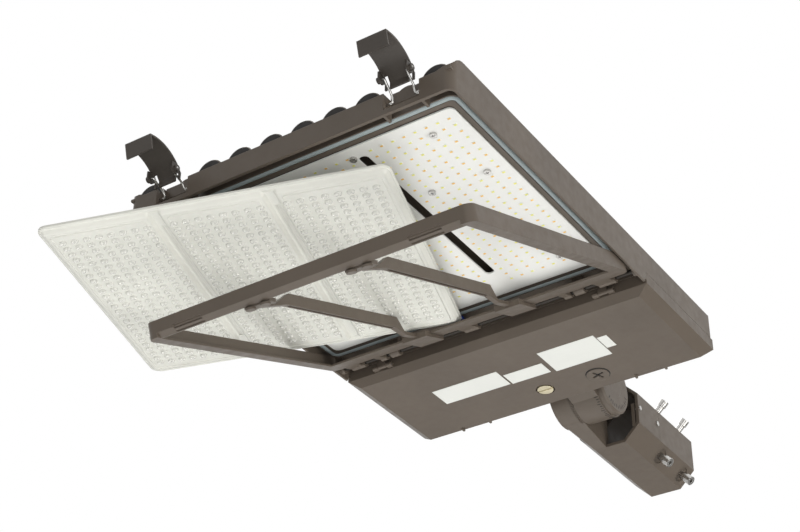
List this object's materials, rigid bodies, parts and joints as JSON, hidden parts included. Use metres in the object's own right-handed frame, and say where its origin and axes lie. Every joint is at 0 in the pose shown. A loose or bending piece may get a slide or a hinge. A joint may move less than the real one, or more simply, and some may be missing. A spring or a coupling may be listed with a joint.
{
  "type": "shoebox area light",
  "caption": "Flat cast area light with a hinged lens door hanging open, its lens lying loose, wire-bail latches and a tilting slip fitter for a pole tenon.",
  "frame": {"origin": "centre of the tenon socket's mouth, on the axis of the slip fitter", "axes": "+X to the right, +Y along the slip fitter towards the pole, +Z towards the ridged side of the housing"},
  "size_m": [0.4608, 0.7599, 0.1703],
  "materials": {
    "bronze_paint": "satin bronze powder coat on cast aluminium",
    "dark_bronze_paint": "satin dark bronze powder coat",
    "board_white": "white solder mask on an aluminium board",
    "bright_steel": "zinc-plated",
    "pale_brass": "satin",
    "pale_rubber": "matt",
    "black_rubber": "matt",
    "dark_plastic": "matt",
    "cream_plastic": "matt",
    "blue_lead": "satin",
    "driver_case": "satin",
    "label_paper": "satin, blank",
    "frosted_lens": "frosted polycarbonate with a satin surface"
  },
  "bodies": {
    "slip_fitter": {"slip_fitter": "bronze_paint", "fitter_cover": "bronze_paint", "fitter_cover_screws": "bright_steel", "set_bolts": "bright_steel", "tilt_bolt": "bright_steel", "tilt_nut": "bright_steel"},
    "housing": {"housing": "bronze_paint", "led_board": "board_white", "board_screws": "bright_steel", "gasket": "pale_rubber", "driver": "driver_case", "driver_screws": "bright_steel", "surge_protector": "dark_plastic", "terminal_block": "cream_plastic", "lead_grommet": "black_rubber", "board_leads": "blue_lead", "driver_leads": "black_rubber", "door_hinge_rod": "bright_steel", "cover_hinge_pins": "bright_steel", "tilt_knuckle": "bronze_paint", "knuckle_bolts": "bright_steel", "pivot_cap": "bronze_paint"},
    "driver_cover": {"driver_cover": "bronze_paint", "cover_gasket": "black_rubber", "access_plug": "bronze_paint", "blank_labels": "label_paper"},
    "captive_screw": {"captive_screw": "pale_brass"},
    "door": {"door_frame": "bronze_paint", "crossbar_left": "bronze_paint", "crossbar_right": "bronze_paint"},
    "lens": {"lens": "frosted_lens"},
    "latch_bail_left": {"latch_bail_left": "bright_steel"},
    "latch_lever_left": {"latch_lever_left": "dark_bronze_paint"},
    "latch_bail_right": {"latch_bail_right": "bright_steel"},
    "latch_lever_right": {"latch_lever_right": "dark_bronze_paint"}
  },
  "joints": [
    {"name": "tilt", "type": "hinge", "parent": "slip_fitter", "child": "housing", "pos_m": [0, -0.176, 0.006], "axis": [1, 0, 0], "range_deg": [-45, 90]},
    {"name": "cover_hinge", "type": "hinge", "parent": "housing", "child": "driver_cover", "pos_m": [0, -0.3706, -0.02], "axis": [-1, 0, 0], "range_deg": [0, 80]},
    {"name": "cover_screw_turn", "type": "hinge", "parent": "driver_cover", "child": "captive_screw", "pos_m": [-0.0019, -0.2604, -0.03], "axis": [0, 0, 1], "range_deg": [0, 90]},
    {"name": "door_hinge", "type": "hinge", "parent": "housing", "child": "door", "pos_m": [0, -0.381, -0.0155], "axis": [1, 0, 0], "range_deg": [-20.95, 0]},
    {"name": "lens_slide", "type": "slide", "parent": "housing", "child": "lens", "axis": [0.1735, 0.984, 0.04], "range_m": [-0.52, 0]},
    {"name": "bail_left", "type": "hinge", "parent": "housing", "child": "latch_bail_left", "pos_m": [-0.1175, -0.693, -0.01], "axis": [1, 0, 0], "range_deg": [-20, 40]},
    {"name": "lever_left", "type": "hinge", "parent": "latch_bail_left", "child": "latch_lever_left", "pos_m": [-0.1175, -0.71093, -0.00006], "axis": [1, 0, 0], "range_deg": [-60, 10]},
    {"name": "bail_right", "type": "hinge", "parent": "housing", "child": "latch_bail_right", "pos_m": [0.1175, -0.693, -0.01], "axis": [1, 0, 0], "range_deg": [-20, 40]},
    {"name": "lever_right", "type": "hinge", "parent": "latch_bail_right", "child": "latch_lever_right", "pos_m": [0.1175, -0.70618, 0.0057], "axis": [1, 0, 0], "range_deg": [-60, 10]}
  ],
  "couplings": [
    {"joint": "lens_slide", "follows": "door_hinge", "m_per_rad": 1.4}
  ]
}
